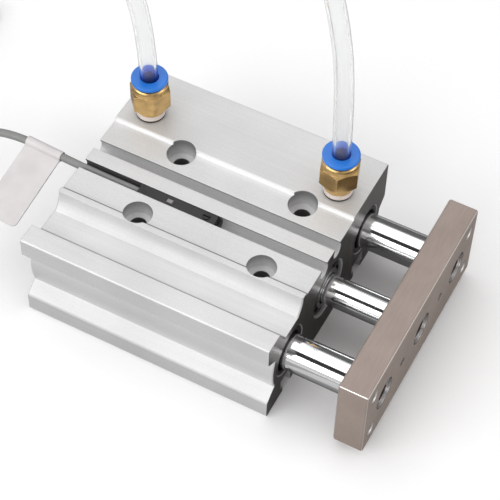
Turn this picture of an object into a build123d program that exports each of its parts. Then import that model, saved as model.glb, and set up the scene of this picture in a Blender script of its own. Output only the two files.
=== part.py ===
from build123d import *
import os
from math import cos, pi, radians, sin, sqrt, tan

# A compact guided pneumatic cylinder, 20 mm bore and 50 mm stroke: an extruded aluminium body that holds one
# cylinder bore and two guide bores, and an end plate carried by the piston rod and two guide rods.
#
# Frame: millimetres, +X along the rods towards the end plate, +Y towards the side with the air ports, +Z up.
# The origin is the centre of the four mounting holes, on the flat underside of the body.
# The pieces are drawn with the plate part of the way out, as the object is shown.

# Driving sizes of the mechanism
bore_d = 20.0
rod_d = 10.0
extension = 16.4
retracted_gap = 6.0

# Driving sizes of the body
body_length = 87.0
body_width = 83.0
body_height = 36.0
length_beyond_stroke = 37.0
mount_pitch_x = 44.0
mount_pitch_y = 28.0
first_mount_from_rear = 26.0
mount_hole_d = 5.6
counterbore_d = 9.5
counterbore_depth = 5.5
mouth_chamfer = 0.4
edge_break = 0.4

# Section of the body, in Y and Z
channel_far = 16.3
channel_near = 17.1
channel_depth = 1.2
ridge_width = 2.1
scoop_depth = 6.6
scoop_reach = 3.0
scoop_mid_y = 0.9
scoop_mid_drop = 3.8
gutter_width = 8.8
flange_slope = 3.6
flange_bottom_drop = 7.6
waist_inset = 4.7
bulge_inset = 3.3
waist_half_height = 7.2
foot_height = 7.3
far_face_drop = 16.0
far_bulge_inset = 3.2
far_bulge_drop = 18.6
far_bulge_mid_inset = 3.6
switch_slot_spacing = 9.2
switch_slot_mouth = 4.0
switch_slot_d = 5.2
switch_slot_centre_drop = 3.6
tee_slot_mouth = 5.4
tee_slot_lip = 2.8
tee_slot_width = 8.4
tee_slot_roof = 2.2
near_tee_shift = 1.0
far_tee_shift = -4.1

# Bores, covers and guides
guide_side_wall = 6.0
guide_hole_wall = 1.7
guide_bush_wall = 2.5
fit_clearance = 0.05
seat_clearance = 0.03
side_gap = 0.05
ring_thickness = 1.0
ring_groove_depth = 0.7
ring_radial_width = 1.9
head_ring_from_face = 1.4
rod_ring_from_face = 2.4
ear_length = 1.1
ear_width = 2.2
ear_hole_d = 1.0
ear_angle = 16.0
head_cover_length = 4.9
gasket_d = 1.4
gasket_recess = 1.55
gasket_groove_width = 1.8
bumper_thickness = 1.0
bumper_outer_d = 16.0
bumper_bore_d = 11.4
stop_gap = 0.1
rod_cover_nose_d = 17.2
rod_cover_flange = 4.7
boss_d = 14.0
boss_from_face = 0.4
rod_bush_d = 13.0
rod_bush_length = 5.6
rod_seal_d = 14.4
rod_seal_length = 2.6
rod_seal_from_face = 1.0
guide_bush_from_face = 4.0
front_bush_length = 14.0
rear_bush_length = 11.5
bush_spacing = 7.0
wiper_thickness = 1.8
holder_thickness = 1.8
holder_from_face = 0.2
holder_gap = 1.0
holder_bevel = 0.4

# Air ports, their plugs and passages
rear_port_from_rear = 9.0
front_port_from_front = 9.5
port_inset = 3.0
port_d = 8.6
port_floor = 1.5
side_port_rise = 10.0
side_port_depth = 7.5
passage_d = 3.0
cross_passage_rise = 12.5
feed_top_rise = 11.5
feed_end_y = 6.5
feed_end_rise = 6.5
plug_length = 6.4
plug_recess = 0.3
plug_socket = 5.0
plug_socket_depth = 3.4

# Fittings, heights above the top of the body
thread_clearance = 0.05
fitting_neck_d = 9.7
neck_bevel = 0.5
hex_bottom = 4.9
hex_top = 12.3
hex_across_flats = 12.0
hex_chamfer = 0.55
hex_turns = {"rear": 11.0, "front": -12.0}
fitting_lifts = {"rear": 0.0, "front": 0.9}
shoulder_height = 1.0
fitting_head_d = 12.0
fitting_top = 14.9
tube_seat = 4.0
fitting_bore_d = 4.0
cavity_bottom = 6.4
cavity_d = 9.6
tube_seal_thickness = 1.8
claw_thickness = 1.5
claw_lip = 0.6
release_travel = 0.8
release_spare = 0.1
release_ring_d = 12.05
release_ring_thickness = 1.2
release_stem_d = 9.3
release_stem_length = 3.3
rim_round = 0.45
tube_d = 6.0
tube_bore_d = 4.0

# Piston
piston_length = 14.0
piston_play = 0.3
piston_nose_d = 16.0
piston_nose = 2.0
seal_groove_d = 15.2
seal_width = 2.5
magnet_groove_d = 14.0
magnet_width = 2.4
wear_groove_d = 17.8
wear_width = 2.5
groove_land = 0.6
spigot_d = 6.0
nut_across_flats = 10.0
nut_thickness = 3.4
nut_recess_d = 12.4
nut_recess_depth = 4.0

# End plate and its bolts
plate_thickness = 10.0
plate_width = 81.0
plate_height = 30.0
plate_edge = 0.5
plate_tap_inset_y = 5.5
plate_tap_inset_z = 6.0
plate_tap_d = 4.2
plate_tap_mouth_d = 5.2
dowel_spacing = 28.0
dowel_d = 3.0
dowel_depth = 6.0
bolt_d = 6.0
bolt_length = 14.0
bolt_head_d = 10.0
bolt_head_height = 4.5
bolt_socket = 5.0
bolt_socket_depth = 3.0
bolt_recess_d = 11.0
bolt_recess_depth = 5.2
bolt_hole_d = 6.6
rod_tap_depth = 12.0

# Position switch, its lead and tag
switch_from_rear = 21.1
switch_body_length = 21.0
switch_clamp_length = 6.8
switch_d = 4.8
switch_neck = 3.7
switch_top_drop = 0.3
switch_screw_d = 2.5
switch_screw_length = 3.2
screw_slot = 0.5
lens_from_rear = 11.2
lens_length = 2.2
lens_width = 1.6
lens_depth = 0.6
lead_d = 2.7
tag_length = 13.4
tag_reach = 28.5
tag_thickness = 0.25
tag_wrap_clearance = 0.1
tag_droop = 14.0
tag_corner = 1.6
coil_centre = (-106.0, -24.0)
coil_d = 30.0
coil_section = 5.6
coil_corner = 1.3
core_d = 1.0
core_length = 15.0
core_start_angle = -70.0
core_pitch = 1.3

# Places worked out from the sizes above
half_width = body_width / 2
axis_height = body_height / 2
stroke = body_length - length_beyond_stroke
body_rear = -(first_mount_from_rear + mount_pitch_x / 2)
body_front = body_rear + body_length
channel_z = body_height - channel_depth
ridge_outer = channel_near + ridge_width
gutter_z = body_height - scoop_depth
gutter_inner = ridge_outer + scoop_reach
gutter_outer = gutter_inner + gutter_width
waist_y = half_width - waist_inset
switch_slot_z = body_height - switch_slot_centre_drop
guide_inner = mount_pitch_y / 2 + mount_hole_d / 2 + guide_hole_wall
guide_outer = half_width - guide_side_wall
guide_bore_d = guide_outer - guide_inner
guide_y = (guide_inner + guide_outer) / 2
guide_rod_d = guide_bore_d - 2 * guide_bush_wall
tee_slot_depth = axis_height - guide_bore_d / 2 - tee_slot_roof
near_tee_y = -guide_y - near_tee_shift
far_tee_y = guide_y + far_tee_shift
port_y = guide_y - port_inset
port_depth = body_height - axis_height - guide_bore_d / 2 - port_floor
side_port_z = axis_height + side_port_rise
cross_passage_z = axis_height + cross_passage_rise
plate_inner = body_front + retracted_gap + extension
plate_outer = plate_inner + plate_thickness
sides = {"near": -1, "far": 1}
port_places = {"rear": body_rear + rear_port_from_rear, "front": body_front - front_port_from_front}

head_ring_x = body_rear + head_ring_from_face - ring_thickness
head_cover_rear = head_ring_x + ring_thickness + side_gap
head_cover_front = head_cover_rear + head_cover_length
rear_bumper_front = head_cover_front + bumper_thickness
piston_rear = rear_bumper_front + stop_gap + extension
piston_front = piston_rear + piston_length
rod_cover_rear = piston_front + stroke - extension + stop_gap + bumper_thickness
rod_ring_x = body_front - rod_ring_from_face
rod_cover_front = rod_ring_x - side_gap
rod_cover_shoulder = rod_cover_front - rod_cover_flange
cover_d = bore_d - 2 * seat_clearance

spindle = Axis((0, 0, axis_height), (1, 0, 0))
spindle_plane = Plane(origin=(0, 0, axis_height), x_dir=(1, 0, 0), z_dir=(0, -1, 0))


def save(piece, name):
    """Labels a finished piece and writes it to its own file."""
    piece.part.label = name
    export_step(piece.part, f"parts/{name}.step")


def band(start, end, inner_d, outer_d, mode=Mode.ADD):
    """Half section of a ring, on a plane whose X runs along the ring's axis."""
    inner_r = inner_d / 2
    outer_r = outer_d / 2
    with Locations(((start + end) / 2, (inner_r + outer_r) / 2)):
        Rectangle(end - start, outer_r - inner_r, mode=mode)


def guide_plane(side):
    """Plane along the axis of one guide rod, with Y up."""
    return Plane(origin=(0, side * guide_y, axis_height), x_dir=(1, 0, 0), z_dir=(0, -1, 0))


def guide_axis(side):
    """Axis of one guide rod."""
    return Axis((0, side * guide_y, axis_height), (1, 0, 0))


def port_plane(x, lift):
    """Upright plane through a port's axis, with X along +X and Y up from a height above the body's top."""
    return Plane(origin=(x, port_y, body_height + lift), x_dir=(1, 0, 0), z_dir=(0, -1, 0))


def port_axis(x):
    """Upright axis of a port."""
    return Axis((x, port_y, 0), (0, 0, 1))


os.makedirs("parts", exist_ok=True)

# Body: one extrusion with a shallow channel on top, a raised ridge and a deep gutter along the near side,
# waisted sides and two tee slots underneath
with BuildPart() as barrel_body:
    with BuildSketch(Plane.YZ.offset(body_rear)) as body_section:
        with BuildLine():
            Polyline(
                (half_width, body_height),
                (channel_far, body_height),
                (channel_far, channel_z),
                (-channel_near, channel_z),
                (-channel_near, body_height),
                (-ridge_outer, body_height),
            )
            ThreePointArc(
                (-ridge_outer, body_height),
                (-ridge_outer - scoop_mid_y, body_height - scoop_mid_drop),
                (-gutter_inner, gutter_z),
            )
            Polyline(
                (-gutter_inner, gutter_z),
                (-gutter_outer, gutter_z),
                (-gutter_outer - flange_slope, body_height),
                (-half_width, body_height),
                (-half_width, body_height - flange_bottom_drop),
                (-waist_y, axis_height + waist_half_height),
            )
            ThreePointArc(
                (-waist_y, axis_height + waist_half_height),
                (-half_width + bulge_inset, axis_height),
                (-waist_y, axis_height - waist_half_height),
            )
            Polyline(
                (-waist_y, axis_height - waist_half_height),
                (-half_width, foot_height),
                (-half_width, 0),
                (half_width, 0),
                (half_width, foot_height),
                (waist_y, axis_height - waist_half_height),
            )
            ThreePointArc(
                (waist_y, axis_height - waist_half_height),
                (
                    half_width - far_bulge_mid_inset,
                    (axis_height - waist_half_height + body_height - far_bulge_drop) / 2,
                ),
                (half_width - far_bulge_inset, body_height - far_bulge_drop),
            )
            Polyline(
                (half_width - far_bulge_inset, body_height - far_bulge_drop),
                (half_width, body_height - far_face_drop),
                (half_width, body_height),
            )
        make_face()
        outer_corners = body_section.vertices().filter_by(lambda v: abs(abs(v.X) - half_width) < 0.01)
        chamfer(outer_corners, edge_break)
        for side in sides.values():
            with Locations((side * switch_slot_spacing / 2, switch_slot_z)):
                Circle(switch_slot_d / 2, mode=Mode.SUBTRACT)
            with Locations((side * switch_slot_spacing / 2, (switch_slot_z + body_height) / 2)):
                Rectangle(switch_slot_mouth, body_height - switch_slot_z, mode=Mode.SUBTRACT)
        for tee_y in (near_tee_y, far_tee_y):
            with Locations((tee_y, tee_slot_lip / 2)):
                Rectangle(tee_slot_mouth, tee_slot_lip, mode=Mode.SUBTRACT)
            with Locations((tee_y, (tee_slot_lip + tee_slot_depth) / 2)):
                Rectangle(tee_slot_width, tee_slot_depth - tee_slot_lip, mode=Mode.SUBTRACT)
    extrude(amount=body_length)
    # the cylinder bore and the two guide bores run right through
    for bore_y, bore_size in ((0, bore_d), (-guide_y, guide_bore_d), (guide_y, guide_bore_d)):
        with BuildSketch(Plane.YZ.offset(body_rear)):
            with Locations((bore_y, axis_height)):
                Circle(bore_size / 2)
        extrude(amount=body_length, mode=Mode.SUBTRACT)
    end_bores = barrel_body.edges().filter_by(GeomType.CIRCLE).filter_by(
        lambda e: e.radius > (guide_bore_d - 1) / 2
        and min(abs(e.center().X - body_rear), abs(e.center().X - body_front)) < 0.01
    )
    chamfer(end_bores, mouth_chamfer)
    # grooves for the two retaining rings
    for ring_x in (head_ring_x, rod_ring_x):
        with BuildSketch(Plane.YZ.offset(ring_x - side_gap)):
            with Locations((0, axis_height)):
                Circle(bore_d / 2 + ring_groove_depth)
        extrude(amount=ring_thickness + 2 * side_gap, mode=Mode.SUBTRACT)
    # four counterbored mounting holes
    with Locations(Plane.XY.offset(body_height)):
        with GridLocations(mount_pitch_x, mount_pitch_y, 2, 2):
            CounterBoreHole(
                radius=mount_hole_d / 2,
                counter_bore_radius=counterbore_d / 2,
                counter_bore_depth=counterbore_depth + channel_depth,
            )
    # air ports on top and on the far side, and the passages that join them to the bore
    for port_x in port_places.values():
        with Locations(Plane(origin=(port_x, port_y, body_height), z_dir=(0, 0, 1))):
            Hole(port_d / 2, depth=port_depth)
        with Locations(Plane(origin=(port_x, half_width, side_port_z), z_dir=(0, 1, 0))):
            Hole(port_d / 2, depth=side_port_depth)
        with Locations(Plane(origin=(port_x, half_width, cross_passage_z), z_dir=(0, 1, 0))):
            Hole(passage_d / 2, depth=half_width - port_y)
        feed_run = Vector(0, port_y - feed_end_y, feed_top_rise - feed_end_rise)
        with Locations(Plane(origin=(port_x, port_y, axis_height + feed_top_rise), z_dir=feed_run)):
            Hole(passage_d / 2, depth=feed_run.length)
save(barrel_body, "barrel_body")

# Head cover: a plain disc with an O-ring, held in the rear of the bore by a retaining ring
head_groove_start = (head_cover_rear + head_cover_front - gasket_groove_width) / 2
with BuildPart() as head_cover:
    with BuildSketch(spindle_plane):
        band(head_cover_rear, head_cover_front, 0, cover_d)
        band(head_groove_start, head_groove_start + gasket_groove_width, cover_d - 2 * gasket_recess, cover_d,
             mode=Mode.SUBTRACT)
    revolve(axis=spindle)
save(head_cover, "head_cover")


def gasket(groove_start):
    """O-ring that lies in a groove of a cover, clear of the bore by a running clearance."""
    with BuildPart() as ring:
        with BuildSketch(spindle_plane):
            ring_r = bore_d / 2 - fit_clearance - gasket_d / 2
            with Locations((groove_start + gasket_groove_width / 2, ring_r)):
                Circle(gasket_d / 2)
        revolve(axis=spindle)
    return ring


save(gasket(head_groove_start), "head_cover_gasket")


def retaining_ring(x, gap_angle):
    """Open ring with two pierced ears beside its gap, that springs into a groove of the cylinder bore."""
    ring_d = bore_d + 2 * ring_groove_depth - 2 * fit_clearance
    inner_r = ring_d / 2 - ring_radial_width
    ear_r = inner_r - ear_length / 2 + ear_width / 4
    gap_y = inner_r * cos(radians(gap_angle))
    gap_z = inner_r * sin(radians(gap_angle))
    gap_width = 2 * inner_r * sin(radians(ear_angle / 2))
    with BuildPart() as ring:
        with BuildSketch(Plane.YZ.offset(x)):
            with Locations((0, axis_height)):
                Circle(ring_d / 2)
                Circle(inner_r, mode=Mode.SUBTRACT)
                with Locations((gap_y, gap_z)):
                    Rectangle(2 * ring_radial_width + 1, gap_width, rotation=gap_angle, mode=Mode.SUBTRACT)
                for turn in (gap_angle - ear_angle, gap_angle + ear_angle):
                    ear = (ear_r * cos(radians(turn)), ear_r * sin(radians(turn)))
                    with Locations(ear):
                        Rectangle(ear_length + ring_radial_width, ear_width, rotation=turn)
                        Circle(ear_hole_d / 2, mode=Mode.SUBTRACT)
        extrude(amount=ring_thickness)
    return ring


save(retaining_ring(head_ring_x, -90), "head_retaining_ring")
save(retaining_ring(rod_ring_x, 0), "rod_retaining_ring")

# Rubber bumpers on the inner faces of both covers
with BuildPart() as rear_bumper:
    with BuildSketch(spindle_plane):
        band(head_cover_front, rear_bumper_front, bumper_bore_d, bumper_outer_d)
    revolve(axis=spindle)
save(rear_bumper, "rear_bumper")

with BuildPart() as front_bumper:
    with BuildSketch(spindle_plane):
        band(rod_cover_rear - bumper_thickness, rod_cover_rear, bumper_bore_d, bumper_outer_d)
    revolve(axis=spindle)
save(front_bumper, "front_bumper")

# Rod cover: a slim nose that lets air past to the front port, a flange with an O-ring, and a boss that stands
# forward through the retaining ring. The rod bush and the rod seal sit inside it.
rod_groove_start = (rod_cover_shoulder + rod_cover_front - gasket_groove_width) / 2
seal_seat_front = rod_cover_front - rod_seal_from_face
seal_seat_rear = seal_seat_front - rod_seal_length
bush_rear = rod_cover_rear + side_gap
with BuildPart() as rod_cover:
    with BuildSketch(spindle_plane):
        band(rod_cover_rear, rod_cover_shoulder, rod_d + 2 * seat_clearance + 1, rod_cover_nose_d)
        band(rod_cover_shoulder, rod_cover_front, rod_d + 2 * seat_clearance + 1, cover_d)
        band(rod_cover_front, body_front - boss_from_face, rod_d + 2 * seat_clearance + 1, boss_d)
        band(rod_groove_start, rod_groove_start + gasket_groove_width, cover_d - 2 * gasket_recess, cover_d,
             mode=Mode.SUBTRACT)
        band(rod_cover_rear, bush_rear + rod_bush_length, rod_d, rod_bush_d + 2 * seat_clearance,
             mode=Mode.SUBTRACT)
        band(seal_seat_rear, seal_seat_front, rod_d, rod_seal_d + 2 * seat_clearance, mode=Mode.SUBTRACT)
    revolve(axis=spindle)
save(rod_cover, "rod_cover")
save(gasket(rod_groove_start), "rod_cover_gasket")

with BuildPart() as rod_bush:
    with BuildSketch(spindle_plane):
        band(bush_rear, bush_rear + rod_bush_length, rod_d + 2 * fit_clearance, rod_bush_d)
    revolve(axis=spindle)
save(rod_bush, "rod_bush")

with BuildPart() as rod_seal:
    with BuildSketch(spindle_plane):
        band(seal_seat_rear + side_gap, seal_seat_front - side_gap, rod_d + 2 * fit_clearance, rod_seal_d)
    revolve(axis=spindle)
save(rod_seal, "rod_seal")

# Guide bushes, felt wipers and their holders, in both guide bores
guide_seat_d = guide_bore_d - 2 * seat_clearance
front_bush_front = body_front - guide_bush_from_face
front_bush_rear = front_bush_front - front_bush_length
rear_bush_front = front_bush_rear - bush_spacing
holder_front = body_front - holder_from_face
holder_rear = holder_front - holder_thickness
for side_name, side in sides.items():
    with BuildPart() as front_bush:
        with BuildSketch(guide_plane(side)):
            band(front_bush_rear, front_bush_front, guide_rod_d + 2 * fit_clearance, guide_seat_d)
        revolve(axis=guide_axis(side))
    save(front_bush, f"front_bush_{side_name}")

    with BuildPart() as rear_bush:
        with BuildSketch(guide_plane(side)):
            band(rear_bush_front - rear_bush_length, rear_bush_front, guide_rod_d + 2 * fit_clearance,
                 guide_seat_d)
        revolve(axis=guide_axis(side))
    save(rear_bush, f"rear_bush_{side_name}")

    with BuildPart() as wiper:
        with BuildSketch(guide_plane(side)):
            band(holder_rear - side_gap - wiper_thickness, holder_rear - side_gap,
                 guide_rod_d + 2 * fit_clearance, guide_seat_d)
        revolve(axis=guide_axis(side))
    save(wiper, f"felt_wiper_{side_name}")

    with BuildPart() as holder:
        with BuildSketch(guide_plane(side)):
            band(holder_rear, holder_front, guide_rod_d + 2 * holder_gap, guide_seat_d)
        revolve(axis=guide_axis(side))
        chamfer(holder.edges().group_by(Axis.X)[-1].sort_by(SortBy.LENGTH)[0], holder_bevel)
    save(holder, f"wiper_holder_{side_name}")

# Plugs with a hexagon socket close the two ports on the far side
for port_name, port_x in port_places.items():
    plug_end = half_width - plug_recess
    with BuildPart() as side_plug:
        with BuildSketch(Plane(origin=(port_x, plug_end, side_port_z), z_dir=(0, 1, 0))):
            Circle(port_d / 2 - thread_clearance)
        extrude(amount=-plug_length)
        chamfer(side_plug.edges().sort_by(Axis.Y)[-1], mouth_chamfer)
        with BuildSketch(Plane(origin=(port_x, plug_end, side_port_z), z_dir=(0, 1, 0))):
            RegularPolygon(plug_socket / 2, 6, major_radius=False)
        extrude(amount=-plug_socket_depth, mode=Mode.SUBTRACT)
    save(side_plug, f"side_plug_{port_name}")

# Push-in fittings: a brass body with a hexagon, a tube seal, a steel claw and the ring that lets the tube go
thread_d = port_d - 2 * thread_clearance
shoulder_top = hex_top + shoulder_height
for port_name, port_x in port_places.items():
    lift = fitting_lifts[port_name]
    seat_z = body_height + lift
    with BuildPart() as fitting_body:
        with BuildSketch(Plane.XY.offset(seat_z + hex_bottom)):
            with Locations((port_x, port_y)):
                RegularPolygon(hex_across_flats / 2, 6, major_radius=False, rotation=hex_turns[port_name])
        extrude(amount=hex_top - hex_bottom)
        with BuildSketch(port_plane(port_x, lift)):
            with BuildLine():
                corner_r = hex_across_flats / sqrt(3) + side_gap
                flat_r = hex_across_flats / 2
                Polyline(
                    (0, hex_bottom),
                    (flat_r, hex_bottom),
                    (corner_r, hex_bottom + hex_chamfer),
                    (corner_r, hex_top - hex_chamfer),
                    (flat_r, hex_top),
                    (0, hex_top),
                    close=True,
                )
            make_face()
        revolve(axis=port_axis(port_x), mode=Mode.INTERSECT)
        with BuildSketch(port_plane(port_x, lift)):
            with BuildLine():
                Polyline(
                    (0, -port_depth + 2 * side_gap),
                    (thread_d / 2, -port_depth + 2 * side_gap),
                    (thread_d / 2, -lift),
                    (fitting_neck_d / 2, -lift),
                    (fitting_neck_d / 2, hex_bottom - neck_bevel),
                    (fitting_neck_d / 2 + neck_bevel, hex_bottom),
                    (0, hex_bottom),
                    close=True,
                )
            make_face()
            with BuildLine():
                Polyline(
                    (0, hex_top),
                    (flat_r, hex_top),
                    (fitting_head_d / 2 - rim_round, shoulder_top),
                    (fitting_head_d / 2, shoulder_top + rim_round),
                    (fitting_head_d / 2, fitting_top - rim_round),
                    (fitting_head_d / 2 - rim_round, fitting_top),
                    (0, fitting_top),
                    close=True,
                )
            make_face()
        revolve(axis=port_axis(port_x))
        for hole_d, floor in (
            (fitting_bore_d, -port_depth),
            (tube_d + 2 * seat_clearance, tube_seat),
            (cavity_d, cavity_bottom),
        ):
            with BuildSketch(Plane.XY.offset(seat_z + floor)):
                with Locations((port_x, port_y)):
                    Circle(hole_d / 2)
            extrude(amount=fitting_top - floor, mode=Mode.SUBTRACT)
    save(fitting_body, f"fitting_body_{port_name}")

    seal_top = seat_z + cavity_bottom + tube_seal_thickness
    with BuildPart() as tube_seal:
        with BuildSketch(Plane.XY.offset(seal_top)):
            with Locations((port_x, port_y)):
                Circle(cavity_d / 2 - seat_clearance)
                Circle(tube_d / 2 + seat_clearance, mode=Mode.SUBTRACT)
        extrude(amount=-tube_seal_thickness)
    save(tube_seal, f"tube_seal_{port_name}")

    claw_bottom = seal_top - seat_z + side_gap
    with BuildPart() as tube_claw:
        with BuildSketch(port_plane(port_x, lift)):
            with BuildLine():
                Polyline(
                    (tube_d / 2 + seat_clearance, claw_bottom),
                    (cavity_d / 2 - seat_clearance, claw_bottom + claw_thickness - claw_lip),
                    (cavity_d / 2 - seat_clearance, claw_bottom + claw_thickness),
                    (tube_d / 2 + seat_clearance, claw_bottom + claw_lip),
                    close=True,
                )
            make_face()
        revolve(axis=port_axis(port_x))
    save(tube_claw, f"tube_claw_{port_name}")

    release_gap = release_travel + release_spare
    ring_bottom = fitting_top + release_gap
    with BuildPart() as release_ring:
        with BuildSketch(Plane.XY.offset(seat_z + ring_bottom)):
            with Locations((port_x, port_y)):
                Circle(release_ring_d / 2)
        extrude(amount=release_ring_thickness)
        fillet(release_ring.edges().group_by(Axis.Z)[-1], rim_round)
        with BuildSketch(Plane.XY.offset(seat_z + ring_bottom)):
            with Locations((port_x, port_y)):
                Circle(release_stem_d / 2)
        extrude(amount=-(release_gap + release_stem_length))
        with BuildSketch(Plane.XY.offset(seat_z)):
            with Locations((port_x, port_y)):
                Circle(tube_d / 2 + fit_clearance)
        extrude(amount=ring_bottom + release_ring_thickness, mode=Mode.SUBTRACT)
    save(release_ring, f"release_ring_{port_name}")

# Piston rod with a spigot for the piston and a threaded end for the plate's bolt
with BuildPart() as piston_rod:
    with BuildSketch(spindle_plane):
        band(piston_rear + nut_recess_depth - nut_thickness, piston_front, 0, spigot_d)
        band(piston_front, plate_inner, 0, rod_d)
        band(plate_inner - rod_tap_depth, plate_inner, 0, bolt_d + 2 * seat_clearance, mode=Mode.SUBTRACT)
    revolve(axis=spindle)
save(piston_rod, "piston_rod")

# Piston with grooves for its seal, magnet and wear ring, and a recess for the nut
seal_start = piston_rear + piston_nose + groove_land
magnet_start = seal_start + seal_width + groove_land
wear_start = magnet_start + magnet_width + groove_land
piston_d = bore_d - 2 * piston_play
with BuildPart() as piston:
    with BuildSketch(spindle_plane):
        band(piston_rear, piston_front, 0, piston_nose_d)
        band(piston_rear + piston_nose, piston_front - piston_nose, 0, piston_d)
        band(seal_start, seal_start + seal_width, seal_groove_d, bore_d, mode=Mode.SUBTRACT)
        band(magnet_start, magnet_start + magnet_width, magnet_groove_d, bore_d, mode=Mode.SUBTRACT)
        band(wear_start, wear_start + wear_width, wear_groove_d, bore_d, mode=Mode.SUBTRACT)
        band(piston_rear, piston_front, 0, spigot_d + 2 * seat_clearance, mode=Mode.SUBTRACT)
        band(piston_rear, piston_rear + nut_recess_depth, 0, nut_recess_d, mode=Mode.SUBTRACT)
    revolve(axis=spindle)
save(piston, "piston")

piston_rings = {
    "piston_seal": (seal_start, seal_width, seal_groove_d, bore_d - 2 * fit_clearance),
    "piston_magnet": (magnet_start, magnet_width, magnet_groove_d, piston_d),
    "piston_wear_ring": (wear_start, wear_width, wear_groove_d, bore_d - 2 * fit_clearance),
}
for ring_name, (start, width, inner_d, outer_d) in piston_rings.items():
    with BuildPart() as piston_ring:
        with BuildSketch(spindle_plane):
            band(start + side_gap, start + width - side_gap, inner_d + 2 * seat_clearance, outer_d)
        revolve(axis=spindle)
    save(piston_ring, ring_name)

with BuildPart() as piston_nut:
    with BuildSketch(Plane.YZ.offset(piston_rear + nut_recess_depth)):
        with Locations((0, axis_height)):
            RegularPolygon(nut_across_flats / 2, 6, major_radius=False)
            Circle(spigot_d / 2 + seat_clearance, mode=Mode.SUBTRACT)
    extrude(amount=-nut_thickness)
save(piston_nut, "piston_nut")

# Guide rods: when the plate is right in, their rear ends are flush with the rear of the body
guide_rod_rear = body_rear + extension
rod_end_chamfer = 1.0
for side_name, side in sides.items():
    with BuildPart() as guide_rod:
        with BuildSketch(guide_plane(side)):
            band(guide_rod_rear, plate_inner, 0, guide_rod_d)
            band(plate_inner - rod_tap_depth, plate_inner, 0, bolt_d + 2 * seat_clearance, mode=Mode.SUBTRACT)
        revolve(axis=guide_axis(side))
        chamfer(guide_rod.edges().group_by(Axis.X)[0], rod_end_chamfer)
    save(guide_rod, f"guide_rod_{side_name}")

# End plate: tapped holes at the corners, two dowel holes and three recesses for the bolts
with BuildPart() as end_plate:
    with Locations(((plate_inner + plate_outer) / 2, 0, axis_height)):
        Box(plate_thickness, plate_width, plate_height)
    chamfer(end_plate.edges(), plate_edge)
    outer_face = Plane(origin=(plate_outer, 0, axis_height), x_dir=(0, 1, 0), z_dir=(1, 0, 0))
    with Locations(outer_face):
        with GridLocations(plate_width - 2 * plate_tap_inset_y, plate_height - 2 * plate_tap_inset_z, 2, 2):
            CounterSinkHole(plate_tap_d / 2, plate_tap_mouth_d / 2, counter_sink_angle=90)
        with GridLocations(dowel_spacing, 1, 2, 1):
            Hole(dowel_d / 2, depth=dowel_depth)
        with GridLocations(guide_y, 1, 3, 1):
            CounterBoreHole(bolt_hole_d / 2, bolt_recess_d / 2, bolt_recess_depth)
save(end_plate, "end_plate")

# Socket bolts that hold the plate on the three rods
bolt_places = {"rod_bolt": 0, "guide_bolt_near": -guide_y, "guide_bolt_far": guide_y}
bolt_seat = plate_outer - bolt_recess_depth
for bolt_name, bolt_y in bolt_places.items():
    bolt_axis = Axis((0, bolt_y, axis_height), (1, 0, 0))
    with BuildPart() as plate_bolt:
        with BuildSketch(Plane(origin=(0, bolt_y, axis_height), x_dir=(1, 0, 0), z_dir=(0, -1, 0))):
            band(bolt_seat - bolt_length, bolt_seat, 0, bolt_d)
            band(bolt_seat, bolt_seat + bolt_head_height, 0, bolt_head_d)
        revolve(axis=bolt_axis)
        chamfer(plate_bolt.edges().group_by(Axis.X)[-1], mouth_chamfer)
        with BuildSketch(Plane.YZ.offset(bolt_seat + bolt_head_height)):
            with Locations((bolt_y, axis_height)):
                RegularPolygon(bolt_socket / 2, 6, major_radius=False)
        extrude(amount=-bolt_socket_depth, mode=Mode.SUBTRACT)
    save(plate_bolt, bolt_name)

# Position switch: a slim body that slides in the near switch slot, with a clamp and screw at its front end
switch_y = -switch_slot_spacing / 2
switch_rear_x = body_rear + switch_from_rear
switch_top = channel_z - switch_top_drop
clamp_rear = switch_rear_x + switch_body_length
clamp_front = clamp_rear + switch_clamp_length
screw_x = (clamp_rear + clamp_front) / 2
screw_top = channel_z
lens_x = switch_rear_x + lens_from_rear


def switch_section():
    """Round bottom and flat-sided neck that fit the switch slot."""
    with Locations((switch_y, switch_slot_z)):
        Circle(switch_d / 2)
    with Locations((switch_y, (switch_slot_z + switch_top) / 2)):
        Rectangle(switch_neck, switch_top - switch_slot_z)
    with Locations((switch_y, switch_top + switch_d / 2)):
        Rectangle(switch_d, switch_d, mode=Mode.SUBTRACT)


with BuildPart() as switch_body:
    with BuildSketch(Plane.YZ.offset(switch_rear_x)):
        switch_section()
    extrude(amount=switch_body_length)
    with Locations((lens_x, switch_y, switch_top - lens_depth / 2)):
        Box(lens_length, lens_width, lens_depth, mode=Mode.SUBTRACT)
save(switch_body, "switch_body")

with BuildPart() as switch_clamp:
    with BuildSketch(Plane.YZ.offset(clamp_rear)):
        switch_section()
    extrude(amount=switch_clamp_length)
    with Locations(Plane(origin=(screw_x, switch_y, switch_top), z_dir=(0, 0, 1))):
        Hole(switch_screw_d / 2 + seat_clearance)
save(switch_clamp, "switch_clamp")

with BuildPart() as switch_screw:
    with BuildSketch(Plane.XY.offset(screw_top)):
        with Locations((screw_x, switch_y)):
            Circle(switch_screw_d / 2)
    extrude(amount=-switch_screw_length)
    with Locations((screw_x, switch_y, screw_top)):
        Box(switch_screw_d, screw_slot, 2 * screw_slot, mode=Mode.SUBTRACT)
save(switch_screw, "switch_screw")

with BuildPart() as switch_lens:
    with Locations((lens_x, switch_y, switch_top - lens_depth / 2)):
        Box(lens_length - 2 * seat_clearance, lens_width - 2 * seat_clearance, lens_depth)
    fillet(switch_lens.edges().group_by(Axis.Z)[-1], lens_depth / 3)
save(switch_lens, "switch_lens")

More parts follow.
